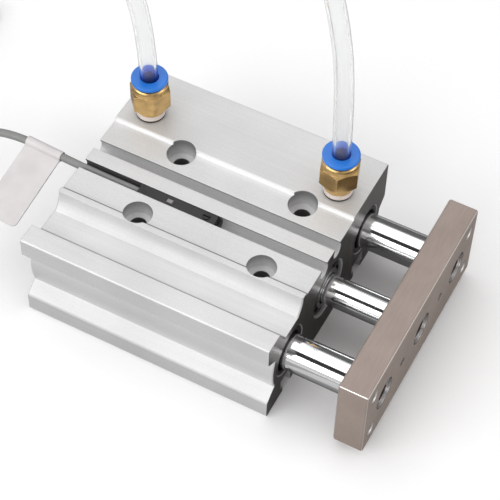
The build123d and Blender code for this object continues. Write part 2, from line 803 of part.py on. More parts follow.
# Cords: the routes' points are chosen by hand. Each tube is straight runs joined by tangent arcs.
arc_share = 0.45
rear_port_x = port_places["rear"]
front_port_x = port_places["front"]
rear_tube_start = body_height + fitting_lifts["rear"] + tube_seat
front_tube_start = body_height + fitting_lifts["front"] + tube_seat
floor_z = tube_d / 2 + side_gap
rear_tube_route = [
    (rear_port_x, port_y, rear_tube_start),
    (rear_port_x, port_y, 67.0),
    (-44.6, 23.8, 96.0),
    (-56.3, 23.2, 118.1),
    (-78.0, 22.5, 130.6),
    (-102.9, 22.0, 128.9),
    (-122.6, 21.5, 113.5),
    (-130.9, 21.3, 87.8),
    (-132.6, 21.6, 58.0),
    (-132.3, 22.6, 28.6),
    (-131.2, 31.8, 12.6),
    (-130.0, 47.6, floor_z),
    (-132.0, 66.0, floor_z),
]
front_tube_route = [
    (front_port_x, port_y, front_tube_start),
    (front_port_x, port_y, 74.0),
    (26.0, 24.2, 108.0),
    (14.0, 25.0, 145.0),
    (-8.0, 26.0, 175.0),
    (-42.0, 27.0, 191.0),
    (-78.0, 28.0, 186.0),
    (-108.0, 28.8, 164.0),
    (-128.0, 29.0, 132.0),
    (-139.5, 29.5, 97.0),
    (-144.0, 30.2, 64.0),
    (-144.5, 31.0, 29.6),
    (-143.5, 40.5, 13.0),
    (-142.0, 57.0, floor_z),
    (-144.0, 76.0, floor_z),
]
lead_route = [
    (switch_rear_x, switch_y, switch_slot_z),
    (-37.5, switch_y, switch_slot_z),
    (-50.0, -4.4, 32.5),
    (-75.5, -3.3, 32.8),
    (-88.0, -4.6, 28.0),
    (-94.5, -6.8, 16.5),
    (-99.5, -8.4, 7.5),
    (-108.0, -9.0, 2.8),
]


def bend_radii(points):
    """Radius at each corner: a share of the shorter run over the tangent of half the turn."""
    places = [Vector(*p) for p in points]
    radii = []
    for before, corner, after in zip(places, places[1:], places[2:]):
        run_in = corner - before
        run_out = after - corner
        turn = run_in.get_angle(run_out)
        radii.append(arc_share * min(run_in.length, run_out.length) / tan(radians(turn / 2)))
    return radii


def cord(points, outer_d, inner_d, name):
    """Round tube or rod swept along a route, with its length and radii printed."""
    radii = bend_radii(points)
    with BuildPart() as piece:
        with BuildLine() as route:
            FilletPolyline(*points, radius=radii)
        path = route.wires()[0]
        with BuildSketch(Plane(origin=path @ 0, z_dir=path % 0)):
            Circle(outer_d / 2)
            if inner_d > 0:
                Circle(inner_d / 2, mode=Mode.SUBTRACT)
        sweep(path=path)
    swept_volume = pi * (outer_d**2 - inner_d**2) / 4 * path.length
    print(name, "length", round(path.length, 1), "volume ratio", round(piece.part.volume / swept_volume, 4))
    print("  radii", [round(r, 1) for r in radii])
    return piece


save(cord(rear_tube_route, tube_d, tube_bore_d, "rear air tube"), "air_tube_rear")
save(cord(front_tube_route, tube_d, tube_bore_d, "front air tube"), "air_tube_front")
save(cord(lead_route, lead_d, 0, "switch lead"), "switch_lead")

# The rest of the lead is wound into a round coil, drawn as one ring of the coil's outer shape
with BuildPart() as lead_coil:
    with BuildSketch(Plane(origin=(*coil_centre, 0), x_dir=(1, 0, 0), z_dir=(0, -1, 0))) as coil_outline:
        with Locations((coil_d / 2, coil_section / 2)):
            Rectangle(coil_section, coil_section)
        chamfer(coil_outline.vertices(), coil_corner)
    revolve(axis=Axis((*coil_centre, 0), (0, 0, 1)))
save(lead_coil, "lead_coil")

# Two bare-ended cores come out of the end of the lead beside the coil
core_turn = radians(core_start_angle)
core_along = Vector(-sin(core_turn), cos(core_turn), 0)
core_across = Vector(cos(core_turn), sin(core_turn), 0)
core_base = Vector(*coil_centre, core_d / 2) + core_across * (coil_d / 2)
for core_name, step in (("core_brown", -0.5), ("core_blue", 0.5)):
    with BuildPart() as core:
        with BuildSketch(Plane(origin=core_base + core_across * (step * core_pitch), z_dir=core_along)):
            Circle(core_d / 2)
        extrude(amount=core_length)
    save(core, core_name)

# Flag tag: a strip wrapped round the lead, with its two halves stuck together
tag_start = Vector(*lead_route[2])
tag_end = Vector(*lead_route[3])
tag_run = (tag_end - tag_start).normalized()
tag_middle = (tag_start + tag_end) * 0.5
tag_plane = Plane(origin=tag_middle - tag_run * (tag_length / 2), x_dir=(0, 1, 0), z_dir=tag_run)
wrap_r = lead_d / 2 + tag_wrap_clearance
with BuildPart() as lead_tag:
    with BuildSketch(tag_plane):
        Circle(wrap_r + tag_thickness)
        with Locations((0, 0)):
            flag_angle = radians(tag_droop)
            with Locations((-cos(flag_angle) * tag_reach / 2, sin(flag_angle) * tag_reach / 2)):
                Rectangle(tag_reach, 2 * tag_thickness, rotation=-tag_droop)
        Circle(wrap_r, mode=Mode.SUBTRACT)
    extrude(amount=tag_length)
    flag_corners = lead_tag.edges().filter_by(lambda e: abs(e.length - 2 * tag_thickness) < 0.01)
    fillet(flag_corners, tag_corner)
save(lead_tag, "lead_tag")
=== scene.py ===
"""Looks of a guided pneumatic cylinder: finishes, air tubes, switch lead, tag and studio, as an add-on."""

import math

import bpy
import numpy as np
from mathutils import Matrix, Vector


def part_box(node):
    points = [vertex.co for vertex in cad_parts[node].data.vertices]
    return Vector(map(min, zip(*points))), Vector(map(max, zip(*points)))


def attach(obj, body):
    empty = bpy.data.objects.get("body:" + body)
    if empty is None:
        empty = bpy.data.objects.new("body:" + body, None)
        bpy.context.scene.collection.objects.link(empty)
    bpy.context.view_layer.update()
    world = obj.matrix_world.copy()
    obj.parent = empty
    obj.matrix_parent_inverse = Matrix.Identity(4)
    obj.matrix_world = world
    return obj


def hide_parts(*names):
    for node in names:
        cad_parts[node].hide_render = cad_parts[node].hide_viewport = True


bl_info = {
    "name": "Guided Cylinder Looks",
    "version": (1, 0, 0),
    "blender": (4, 5, 0),
    "location": "View3D > Sidebar > Cylinder",
    "description": "Finishes, tubes, lead and studio for a guided pneumatic cylinder",
    "category": "Object",
}

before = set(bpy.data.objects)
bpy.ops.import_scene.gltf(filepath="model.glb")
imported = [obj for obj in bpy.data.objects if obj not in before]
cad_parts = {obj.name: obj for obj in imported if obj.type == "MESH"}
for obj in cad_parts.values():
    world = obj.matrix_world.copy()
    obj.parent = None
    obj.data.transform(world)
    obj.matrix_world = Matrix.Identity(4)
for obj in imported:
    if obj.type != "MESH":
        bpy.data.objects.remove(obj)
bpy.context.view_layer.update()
BODY_LOW, BODY_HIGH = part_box("barrel_body")
PLATE_LOW, PLATE_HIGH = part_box("end_plate")
SWITCH_FRONT_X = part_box("switch_clamp")[1].x
RING_TOP_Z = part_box("release_ring_rear")[1].z

MM = 0.001

# Routes of the cords, in millimetres, as the part's source gives them
PORT_Y = 24.0
REAR_PORT_X = -39.0
FRONT_PORT_X = 29.5
REAR_TUBE_START_Z = 40.0
FRONT_TUBE_START_Z = 40.9
TUBE_FLOOR_Z = 3.05
REAR_TUBE_ROUTE = [
    (REAR_PORT_X, PORT_Y, REAR_TUBE_START_Z),
    (REAR_PORT_X, PORT_Y, 67.0),
    (-44.6, 23.8, 96.0),
    (-56.3, 23.2, 118.1),
    (-78.0, 22.5, 130.6),
    (-102.9, 22.0, 128.9),
    (-122.6, 21.5, 113.5),
    (-130.9, 21.3, 87.8),
    (-132.6, 21.6, 58.0),
    (-132.3, 22.6, 28.6),
    (-131.2, 31.8, 12.6),
    (-130.0, 47.6, TUBE_FLOOR_Z),
    (-132.0, 66.0, TUBE_FLOOR_Z),
]
FRONT_TUBE_ROUTE = [
    (FRONT_PORT_X, PORT_Y, FRONT_TUBE_START_Z),
    (FRONT_PORT_X, PORT_Y, 74.0),
    (26.0, 24.2, 108.0),
    (14.0, 25.0, 145.0),
    (-8.0, 26.0, 175.0),
    (-42.0, 27.0, 191.0),
    (-78.0, 28.0, 186.0),
    (-108.0, 28.8, 164.0),
    (-128.0, 29.0, 132.0),
    (-139.5, 29.5, 97.0),
    (-144.0, 30.2, 64.0),
    (-144.5, 31.0, 29.6),
    (-143.5, 40.5, 13.0),
    (-142.0, 57.0, TUBE_FLOOR_Z),
    (-144.0, 76.0, TUBE_FLOOR_Z),
]
LEAD_ROUTE = [
    (-26.9, -4.6, 32.4),
    (-37.5, -4.6, 32.4),
    (-50.0, -4.4, 32.5),
    (-75.5, -3.3, 32.8),
    (-88.0, -4.6, 28.0),
    (-94.5, -6.8, 16.5),
    (-99.5, -8.4, 7.5),
]

# Put-away coil: its middle in millimetres, how many degrees past the lead's last point it starts, the share
# of its turns that lie on the floor, the turns it takes to climb onto them, and its points in each turn
COIL_CENTRE = (-106.0, -24.0)
COIL_ARRIVAL = 24.0
COIL_LOWER_SHARE = 0.55
COIL_CLIMB = 0.2
COIL_STEPS = 16

# Cores at the lead's end, in degrees and millimetres: where round the coil they leave it, their length, the
# length inside the lead, where they reach the floor, their diameters, and the share that is bare
CORE_ANGLE = -70.0
CORE_LENGTH = 15.0
CORE_HIDDEN = 2.0
CORE_FALL = 6.0
CORE_D = 1.0
COPPER_D = 0.6
CORE_BARE = 0.33

# Rings along a core's two stretches, and points in one ring of a core and of a tube
SHEATH_RINGS = 24
COPPER_RINGS = 12
CORE_SIDES = 16
TUBE_SIDES = 32

# Places that the finishes follow, in metres: the plated collars with a painted shadow at their foot, and the
# painted blue of the ring seen through the tubes
COLLAR_SHADOW_Z = BODY_HIGH.z + 0.0007
COLLAR_TOP_Z = BODY_HIGH.z + 0.0026
RING_SEEN_FULL_Z = RING_TOP_Z + 0.0003
RING_SEEN_END_Z = RING_TOP_Z + 0.0048

# Counterbored holes, the step beside the channel and the switch slots, in metres
HOLE_X = 0.022
HOLE_Y = 0.014
HOLE_R = 0.0048
SEAT_Z = BODY_HIGH.z - 0.0067
STEP_Y = 0.0163
SLOTS_Y = 0.009
SLOTS_FLOOR_Z = BODY_HIGH.z - 0.008
SLOTS_TOP_Z = BODY_HIGH.z - 0.0014
ROUND_SLOT_X = SWITCH_FRONT_X + 0.0011

# Painted shadow lines in inner corners of the extrusion, in metres: across, height and width of each line.
# The second is wider than a corner's own shade, to show past the flange from the photo's side.
CORNER_SHADOW_LINES = ((-0.0164, 0.0348, 0.0006), (-0.0310, 0.0294, 0.0012))

# How far from its face a mask still counts, in metres
END_SKIN = 0.00005
CORNER_SKIN = 0.0002
PLATE_SKIN = 0.0002
SEAT_SKIN = 0.0003

# Where a soft mask starts and where it is full, in metres: below the slots' top, above the seats of the
# counterbores, beside the step, and from the faces of the plate
LIP_FADE = (0.0007, 0.0002)
WALL_FADE = (0.0005, 0.006)
STEP_FADE = (0.0009, 0.0001)
EDGE_FADE = (0.0005, 0.0003)

# Roundings of small pieces and of the fittings, in metres
SMALL_EDGE = 0.0001
FITTING_EDGE = 0.00018

# Plain machined metals: finish, colour, roughness and the pieces that have it
SMALL_METALS = (
    ("screw_steel", (0.045, 0.042, 0.042), 0.35, ("switch_screw",)),
    ("spring_steel", (0.10, 0.10, 0.105), 0.35, (
        "head_retaining_ring", "rod_retaining_ring", "wiper_holder_near", "wiper_holder_far",
        "tube_claw_rear", "tube_claw_front",
    )),
    ("plug_steel", (0.16, 0.16, 0.17), 0.38, ("side_plug_rear", "side_plug_front", "piston_nut")),
    ("bolt_steel", (0.50, 0.47, 0.46), 0.22, ("rod_bolt", "guide_bolt_near", "guide_bolt_far")),
    ("bush_bronze", (0.50, 0.33, 0.16), 0.32, (
        "rod_bush", "front_bush_near", "front_bush_far", "rear_bush_near", "rear_bush_far",
    )),
)
COVER_COLOUR = (0.45, 0.45, 0.46)
COPPER_COLOUR = (0.72, 0.35, 0.18)
WINDOW_COLOUR = (0.42, 0.38, 0.38)
RUBBER_COLOUR = (0.02, 0.02, 0.02)
RESIN_COLOUR = (0.45, 0.40, 0.33)
FELT_COLOUR = (0.12, 0.11, 0.10)
RUBBER_PIECES = (
    "rod_seal", "head_cover_gasket", "rod_cover_gasket", "front_bumper", "rear_bumper", "piston_seal",
    "tube_seal_rear", "tube_seal_front", "piston_magnet",
)

# Cores of the lead: name, colour and how far it bends aside, in millimetres
CORES = (("core_brown", (0.16, 0.06, 0.03), -0.65), ("core_blue", (0.02, 0.07, 0.35), 0.65))

# Studio, in metres and the sensor in millimetres: lights with place and size, then cards that stand in for
# shade in reflections only, with place, point faced, size and brightness
STUDIO_CENTRE = (0.01, 0.0, 0.02)
FLOOR_DROP = 0.00002
PAPER_TONES = (0.94, 0.97)
SENSOR_WIDTH = 36.0
LIGHTS = (
    ("overhead", (-0.24, 0.19, 0.86), (0.85, 0.85)),
    ("key", (-0.28, -0.80, 0.57), (1.2, 0.55)),
    ("fill", (0.85, 0.15, 0.50), (0.5, 0.4)),
)
SHADE_CARDS = (
    ("gap_card", (-0.18, -0.30, 0.60), STUDIO_CENTRE, (1.3, 0.26), 0.02),
    ("far_card", (-0.10, 0.80, 0.22), STUDIO_CENTRE, (1.8, 0.85), 0.10),
    ("front_card", (0.0525, 0.045, 0.0003), (0.0525, 0.045, 1.0), (0.027, 0.165), 0.24),
    ("near_card", (0.045, -0.20, 0.0003), (0.045, -0.20, 1.0), (0.024, 0.30), 0.5),
    ("floor_card", (0.0, 0.0, 0.0002), (0.0, 0.0, 1.0), (0.9, 0.9), 0.28),
)


class Wire:
    """A shader socket in a sum: each operator adds the Math node that works it out."""

    def __init__(self, look, socket):
        self.look = look
        self.socket = socket

    def _sum(self, operation, first, second):
        return self.look.node("ShaderNodeMath", {"operation": operation}, {0: first, 1: second})

    def __add__(self, other):
        return self._sum("ADD", self, other)

    __radd__ = __add__

    def __sub__(self, other):
        return self._sum("SUBTRACT", self, other)

    def __rsub__(self, other):
        return self._sum("SUBTRACT", other, self)

    def __mul__(self, other):
        return self._sum("MULTIPLY", self, other)

    __rmul__ = __mul__

    def __gt__(self, other):
        return self._sum("GREATER_THAN", self, other)

    def __lt__(self, other):
        return self._sum("LESS_THAN", self, other)


class Look:
    """Node tree of one finish."""

    def __init__(self, name):
        self.material = bpy.data.materials.new(name)
        self.material.use_nodes = True
        self.tree = self.material.node_tree
        self.tree.nodes.clear()

    def node(self, kind, settings=None, values=None, out=0):
        """Adds a node with its settings, then its sockets' values or links, and returns one output."""
        made = self.tree.nodes.new(kind)
        for name, value in (settings or {}).items():
            setattr(made, name, value)
        for key, value in (values or {}).items():
            if isinstance(value, Wire):
                self.tree.links.new(value.socket, made.inputs[key])
            else:
                made.inputs[key].default_value = value
        return Wire(self, made.outputs[out]) if made.outputs else None

    def place(self, stretch=(1.0, 1.0, 1.0)):
        """Object coordinates, stretched along the axes."""
        coords = self.node("ShaderNodeTexCoord", out="Object")
        return self.node("ShaderNodeMapping", values={"Vector": coords, "Scale": stretch})

    def part(self, axis):
        """One of the object coordinates, in metres."""
        coords = self.node("ShaderNodeTexCoord", out="Object")
        return self.node("ShaderNodeSeparateXYZ", values={"Vector": coords}, out=axis)

    def absolute(self, value):
        """A value without its sign."""
        return self.node("ShaderNodeMath", {"operation": "ABSOLUTE"}, {0: value})

    def noise(self, scale, detail=2.0, rough=0.5, stretch=(1.0, 1.0, 1.0)):
        """Noise from 0 to 1, with scale in cells per metre."""
        return self.node(
            "ShaderNodeTexNoise",
            values={"Vector": self.place(stretch), "Scale": scale, "Detail": detail, "Roughness": rough},
            out="Fac",
        )

    def mix(self, factor, first, second):
        """Colour between two others."""
        return self.node("ShaderNodeMix", {"data_type": "RGBA"}, {0: factor, 6: first, 7: second}, out=2)

    def soft_step(self, value, low, high):
        """0 at low, 1 at high, smooth between; it falls where low is the larger of the two."""
        return self.node(
            "ShaderNodeMapRange",
            {"interpolation_type": "SMOOTHSTEP", "clamp": True},
            {"Value": value, "From Min": low, "From Max": high},
        )

    def bump(self, height, depth, strength=1.0, edge=0.0):
        """Normal from a height, with depth in metres, and edges rounded by a radius in metres."""
        values = {"Height": height, "Distance": depth, "Strength": strength}
        if edge > 0:
            values["Normal"] = self.node("ShaderNodeBevel", {"samples": 6}, {"Radius": edge})
        return self.node("ShaderNodeBump", values=values)

    def finish(self, values):
        """Principled shader on the output."""
        shader = self.node("ShaderNodeBsdfPrincipled", values=values)
        self.node("ShaderNodeOutputMaterial", values={"Surface": shader})
        return self.material


def shade(colour, factor=1.0):
    """Colour times a factor, with full alpha."""
    return tuple(min(1.0, c * factor) for c in colour[:3]) + (1.0,)


def plain_grey(tone):
    """Grey with full alpha."""
    return (tone, tone, tone, 1.0)


def anodised_look(name, colour, ends, edge):
    """Blasted and anodised aluminium with fine grain and slow drifts of shade.

    Its two milled ends and its drilled holes are bare metal. The darker slots and holes, the dark lines in
    two inner corners and the bright step are painted by place, to follow the photo's shading.
    """
    look = Look(name)
    grain = look.noise(scale=3200.0, detail=5.0, rough=0.75)
    lines = look.noise(scale=1100.0, rough=0.6, stretch=(0.02, 1.0, 1.0))
    drift = look.noise(scale=30.0)
    cuts = look.noise(scale=2400.0, rough=0.6, stretch=(1.0, 0.06, 1.0))
    along = look.part("X")
    across = look.part("Y")
    height = look.part("Z")
    end = (along > BODY_HIGH.x - END_SKIN) + (along < BODY_LOW.x + END_SKIN)
    off_x = look.absolute(along) - HOLE_X
    off_y = look.absolute(across) - HOLE_Y
    hole = off_x * off_x + off_y * off_y < HOLE_R * HOLE_R
    slot = (look.absolute(across) < SLOTS_Y) * (height > SLOTS_FLOOR_Z) * (height < SLOTS_TOP_Z)

    tone = look.soft_step(0.35 * drift + 0.12 * lines + 0.53 * grain, low=0.3, high=0.7)
    blasted = look.mix(tone, shade(colour, 0.88), shade(colour, 1.08))

    # painted shadow lines in two inner corners
    corners = 0.0
    for corner_y, corner_z, width in CORNER_SHADOW_LINES:
        near = look.soft_step(look.absolute(across - corner_y), low=width, high=0.25 * width)
        corners = corners + near * (look.absolute(height - corner_z) < CORNER_SKIN)
    corner_shaded = look.mix(corners * (0.75 + 0.25 * drift), blasted, shade(colour, 0.12))

    # painted shade in the switch slots, darkest under their top edge and in the near slot behind the switch;
    # that part is painted for the switch at rest, and doesn't slide with it
    lip_shade = look.soft_step(height, low=SLOTS_TOP_Z - LIP_FADE[0], high=SLOTS_TOP_Z - LIP_FADE[1])
    shade_round_lead =(across < 0.0) * (along < ROUND_SLOT_X)
    slot_shade = slot * (0.05 + 0.15 * drift + 0.6 * lip_shade + 0.7 * shade_round_lead)
    slot_shaded = look.mix(slot_shade, corner_shaded, shade(colour, 0.15))

    # a counterbore's painted shade darkens up its wall, its seat stays bright, and the hole below the seat is
    # dark
    wall = look.soft_step(height, low=SEAT_Z + WALL_FADE[0], high=SEAT_Z + WALL_FADE[1])
    seat = hole * (look.absolute(height - SEAT_Z) < SEAT_SKIN)
    depth = 0.1 + 0.75 * wall + 0.8 * (height < SEAT_Z - SEAT_SKIN)
    hole_shaded = look.mix((hole - seat) * depth, slot_shaded, shade(colour, 0.2))

    # a painted highlight along the step beside the channel
    step = look.soft_step(look.absolute(across - STEP_Y), *STEP_FADE) * (1.0 - hole)
    step_highlighted = look.mix(step, hole_shaded, shade(colour, 1.18))
    milled = look.mix(cuts, shade(ends, 0.85), shade(ends, 1.15))
    relief = 0.85 * grain + 0.15 * lines + end * (cuts - grain)
    return look.finish({
        "Base Color": look.mix(end, step_highlighted, milled),
        "Metallic": 0.8 + 0.2 * end - 0.4 * hole - 0.3 * seat - 0.35 * step,
        "Roughness": 0.6 + 0.1 * grain - 0.3 * end - 0.15 * hole,
        "Normal": look.bump(relief, depth=0.00004, strength=0.6, edge=edge),
    })


def cut_marks(look, colour):
    """Colour with cross-cut marks and slow drifts of shade, the marks' relief, and their grain and drift."""
    cuts = look.noise(scale=1400.0, rough=0.6, stretch=(1.0, 0.12, 1.0))
    grain = look.noise(scale=4200.0, rough=0.6)
    drift = look.noise(scale=60.0, detail=3.0)
    tone = look.soft_step(0.5 * drift + 0.3 * cuts + 0.2 * grain, low=0.3, high=0.7)
    marked = look.mix(tone, shade(colour, 0.88), shade(colour, 1.08))
    return marked, 0.6 * cuts + 0.4 * grain, grain, drift


def machined_look(name, colour, rough, edge):
    """Machined metal with fine cross-cut marks and slow drifts of shade."""
    look = Look(name)
    marked, relief, grain, _ = cut_marks(look, colour)
    return look.finish({
        "Base Color": marked,
        "Metallic": 0.95,
        "Roughness": rough - 0.05 + 0.12 * grain,
        "Normal": look.bump(relief, depth=0.00003, strength=0.4, edge=edge),
    })


def plate_look(name, colour, bare, edge):
    """Plated steel with cut marks, slow drifts of shade, painted edge highlights, and bare turned metal in
    its holes.

    The place is measured from the block's faces: inside is further than the plate's skin from all of them, an
    edge is closer than 0.4 mm to two of them.
    """
    look = Look(name)
    marked, relief, grain, drift = cut_marks(look, colour)
    inside, edges = 1.0, 0.0
    for axis, low, high in zip("XYZ", PLATE_LOW, PLATE_HIGH):
        from_face = (high - low) / 2 - look.absolute(look.part(axis) - (low + high) / 2)
        inside = inside * (from_face > PLATE_SKIN)
        edges = edges + look.soft_step(from_face, *EDGE_FADE)
    # the sum reaches 2 where two faces meet
    # a painted highlight along the plate's edges
    edge_highlight = look.soft_step(edges, low=1.4, high=1.9)
    edge_highlighted = look.mix(edge_highlight * (0.4 + 0.6 * drift), marked, shade(colour, 1.5))
    turned = look.mix(grain, shade(bare, 0.8), shade(bare, 1.1))
    return look.finish({
        "Base Color": look.mix(inside, edge_highlighted, turned),
        "Metallic": 0.3 + 0.7 * inside,
        "Roughness": 0.43 + 0.12 * grain - 0.2 * inside,
        "Normal": look.bump(relief, depth=0.00003, strength=0.4, edge=edge),
    })


def chrome_look(name, colour):
    """Ground and hard-chromed rod: mirror with hair-fine grinding rings round the axis."""
    look = Look(name)
    rings = look.noise(scale=3000.0, stretch=(1.0, 0.02, 0.02))
    haze = look.noise(scale=80.0)
    return look.finish({
        "Base Color": shade(colour),
        "Metallic": 1.0,
        "Roughness": 0.05 + 0.05 * haze + 0.03 * rings,
        "Normal": look.bump(rings, depth=0.000002, strength=0.25),
    })


def brass_look(name, colour, plated):
    """Turned brass with fine turning rings; the collar on the body is nickel plated, with a painted shadow at
    its foot.
    """
    look = Look(name)
    rings = look.noise(scale=2600.0, stretch=(0.05, 0.05, 1.0))
    drift = look.noise(scale=260.0)
    height = look.part("Z")
    bare = look.mix(look.soft_step(drift, low=0.35, high=0.65), shade(colour, 0.86), shade(colour, 1.1))
    collar = look.mix(drift, shade(plated, 0.9), shade(plated, 1.05))
    collared = look.mix(height < COLLAR_TOP_Z, bare, collar)
    return look.finish({
        # a painted contact shadow at the foot of the collar
        "Base Color": look.mix(height < COLLAR_SHADOW_Z, collared, shade(colour, 0.05)),
        "Metallic": 0.93 - 0.45 * (height < COLLAR_TOP_Z),
        "Roughness": 0.22 + 0.08 * rings,
        "Normal": look.bump(rings, depth=0.00001, strength=0.3, edge=FITTING_EDGE),
    })


def moulded_look(name, colour, rough, coat=0.0):
    """Moulded plastic or rubber: fine mould texture and small drifts of shade."""
    look = Look(name)
    grain = look.noise(scale=3600.0, detail=3.0, rough=0.6)
    drift = look.noise(scale=140.0)
    return look.finish({
        "Base Color": look.mix(drift, shade(colour, 0.85), shade(colour, 1.15)),
        "Roughness": rough - 0.04 + 0.1 * grain,
        "Coat Weight": coat,
        "Normal": look.bump(grain, depth=0.00002, strength=0.35, edge=SMALL_EDGE),
    })


def felt_look(name, colour):
    """Oiled felt: matted fibres."""
    look = Look(name)
    fibres = look.noise(scale=2600.0, detail=5.0, rough=0.75, stretch=(1.0, 2.2, 0.6))
    return look.finish({
        "Base Color": look.mix(fibres, shade(colour, 0.6), shade(colour, 1.3)),
        "Roughness": 0.95,
        "Normal": look.bump(fibres, depth=0.00025, strength=0.8),
    })


def tube_look(name, colour, foot):
    """Clear polyurethane tube: soft clear wall with a faint haze, painted blue where the ring at its foot
    shows through.
    """
    look = Look(name)
    haze = look.noise(scale=500.0)
    ring_seen_through = look.soft_step(look.part("Z"), low=RING_SEEN_END_Z, high=RING_SEEN_FULL_Z)
    over_body = look.part("X") > BODY_LOW.x
    return look.finish({
        "Base Color": look.mix(ring_seen_through * over_body, shade(colour), shade(foot)),
        "Roughness": 0.04 + 0.06 * haze,
        "Transmission Weight": 0.93,
        "IOR": 1.25,
        "Normal": look.bump(haze, depth=0.00002, strength=0.05),
    })


def window_look(name, colour):
    """Clear tinted window over the switch's lamp."""
    look = Look(name)
    haze = look.noise(scale=1500.0, detail=1.0)
    return look.finish({
        "Base Color": shade(colour),
        "Roughness": 0.08 + 0.06 * haze,
        "Transmission Weight": 0.5,
        "IOR": 1.45,
        "Coat Weight": 0.5,
    })


def dress(names, material):
    """Gives CAD nodes one material."""
    for name in names:
        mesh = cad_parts[name].data
        mesh.materials.clear()
        mesh.materials.append(material)


def new_piece(name, verts, faces, material, body, slot):
    """Smooth mesh object in the object's own frame that rides on a body."""
    mesh = bpy.data.meshes.new(name)
    mesh.from_pydata(verts.tolist(), [], faces)
    mesh.update()
    mesh.shade_smooth()
    mesh.materials.append(material)
    piece = bpy.data.objects.new(name, mesh)
    bpy.context.scene.collection.objects.link(piece)
    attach(piece, body)
    return piece


def ring_faces(rows, columns, closed=False):
    """Quads between rings of points, given row by row; closed joins the last ring to the first one."""
    r = np.arange(rows if closed else rows - 1)
    a, b = np.meshgrid(r, np.arange(columns), indexing="ij")
    a2 = (a + 1) % rows
    b2 = (b + 1) % columns
    quads = np.stack([a * columns + b, a * columns + b2, a2 * columns + b2, a2 * columns + b], -1)
    return quads.reshape(-1, 4).tolist()


def route_spline(name, points, bevel=0.0):
    """One open NURBS spline of order 3 with the route's points, in millimetres, as its control points."""
    curve = bpy.data.curves.new(name, "CURVE")
    curve.dimensions = "3D"
    spline = curve.splines.new("NURBS")
    spline.points.add(len(points) - 1)
    for place, point in zip(spline.points, points):
        place.co = (point[0] * MM, point[1] * MM, point[2] * MM, 1.0)
    spline.order_u = 3
    spline.use_endpoint_u = True
    spline.resolution_u = 16
    curve.bevel_depth = bevel
    curve.bevel_resolution = 6
    curve.use_fill_caps = bevel > 0
    return curve


def spline_points(points):
    """Points along a route's NURBS spline, in metres, read from a curve with no bevel."""
    curve = route_spline("route", points)
    holder = bpy.data.objects.new("route", curve)
    mesh = bpy.data.meshes.new_from_object(holder)
    places = np.empty(len(mesh.vertices) * 3)
    mesh.vertices.foreach_get("co", places)
    bpy.data.objects.remove(holder)
    bpy.data.meshes.remove(mesh)
    bpy.data.curves.remove(curve)
    return places.reshape(-1, 3)


def coil_route(lead_d, turns, outer_r):
    """Points of the wound lead, in millimetres, from where it arrives to where its cores come out.

    Counted back from the cores, the turns wind inwards on the floor, each a lead's diameter inside the last
    one, then climb and wind outwards again on top of them: with t in turns, radius = outer - d * t, and past
    half of them inner + d * (t - half).
    """
    last_x, last_y, _ = LEAD_ROUTE[-1]
    arrive = math.degrees(math.atan2(last_y - COIL_CENTRE[1], last_x - COIL_CENTRE[0])) + COIL_ARRIVAL
    total = turns + (CORE_ANGLE - arrive) % 360.0 / 360.0
    half = COIL_LOWER_SHARE * total
    # a spline of order 3 runs inside its control points, by this much
    shrink = (3 + math.cos(2 * math.pi / COIL_STEPS)) / 4
    steps = int(total * COIL_STEPS)
    points = []
    for i in range(steps + 1):
        t = total * (1 - i / steps)
        angle = math.radians(CORE_ANGLE - 360.0 * t)
        radius = (outer_r - lead_d * min(t, half) + lead_d * max(0.0, t - half)) / shrink
        climb = min(1.0, max(0.0, (t - half) / COIL_CLIMB + 0.5))
        height = lead_d * (0.5 + climb * climb * (3 - 2 * climb))
        x = COIL_CENTRE[0] + radius * math.cos(angle)
        y = COIL_CENTRE[1] + radius * math.sin(angle)
        points.append((x, y, height))
    return points


def core_surface(start, side):
    """Vertices and faces of one bare-ended core: a circle carried along a line that drops to the floor.

    place = start + along * s + across * side * (0.8 + 0.9 * ease(s)) - up * drop * ease(s), with s from
    inside the lead to the core's length. The circle is smaller on the bare copper, and each end closes in one
    point.
    """
    turn = math.radians(CORE_ANGLE)
    along = np.array([-math.sin(turn), math.cos(turn), 0.0])
    across = np.array([math.cos(turn), math.sin(turn), 0.0])
    up = np.array([0.0, 0.0, 1.0])
    bared = CORE_LENGTH * (1 - CORE_BARE)
    sheath = np.linspace(-CORE_HIDDEN, bared, SHEATH_RINGS)
    copper = np.linspace(bared, CORE_LENGTH, COPPER_RINGS)
    s = np.concatenate([sheath, copper])
    share = np.clip(s / CORE_FALL, 0.0, 1.0)
    ease = share * share * (3 - 2 * share)
    line = np.array(start) + s[:, None] * along + (side * (0.8 + 0.9 * ease))[:, None] * across
    line[:, 2] -= (start[2] - CORE_D / 2) * ease
    radius = np.where(np.arange(len(s)) < SHEATH_RINGS, CORE_D / 2, COPPER_D / 2)
    angle = np.linspace(0, 2 * math.pi, CORE_SIDES, endpoint=False)
    circle = np.cos(angle)[:, None] * across - np.sin(angle)[:, None] * up
    skin = (line[:, None] + radius[:, None, None] * circle).reshape(-1, 3)
    here = np.arange(CORE_SIDES)
    after = (here + 1) % CORE_SIDES
    last = len(skin) - CORE_SIDES
    start_cap = np.stack([np.full(CORE_SIDES, len(skin)), after, here], -1).tolist()
    end_cap = np.stack([np.full(CORE_SIDES, len(skin) + 1), last + here, last + after], -1).tolist()
    verts = np.concatenate([skin, line[:1], line[-1:]]) * MM
    return verts, start_cap + ring_faces(len(line), CORE_SIDES) + end_cap


def frames_along(points):
    """Two unit vectors across the path at each point, turned as little as possible from one to the next."""
    steps = np.gradient(points, axis=0)
    along = steps / np.linalg.norm(steps, axis=1, keepdims=True)
    across = np.empty_like(along)
    start = np.cross(along[0], (0.0, 1.0, 0.0))
    across[0] = start / np.linalg.norm(start)
    for i in range(1, len(along)):
        carried = across[i - 1] - along[i] * np.dot(across[i - 1], along[i])
        across[i] = carried / np.linalg.norm(carried)
    return across, np.cross(along, across)


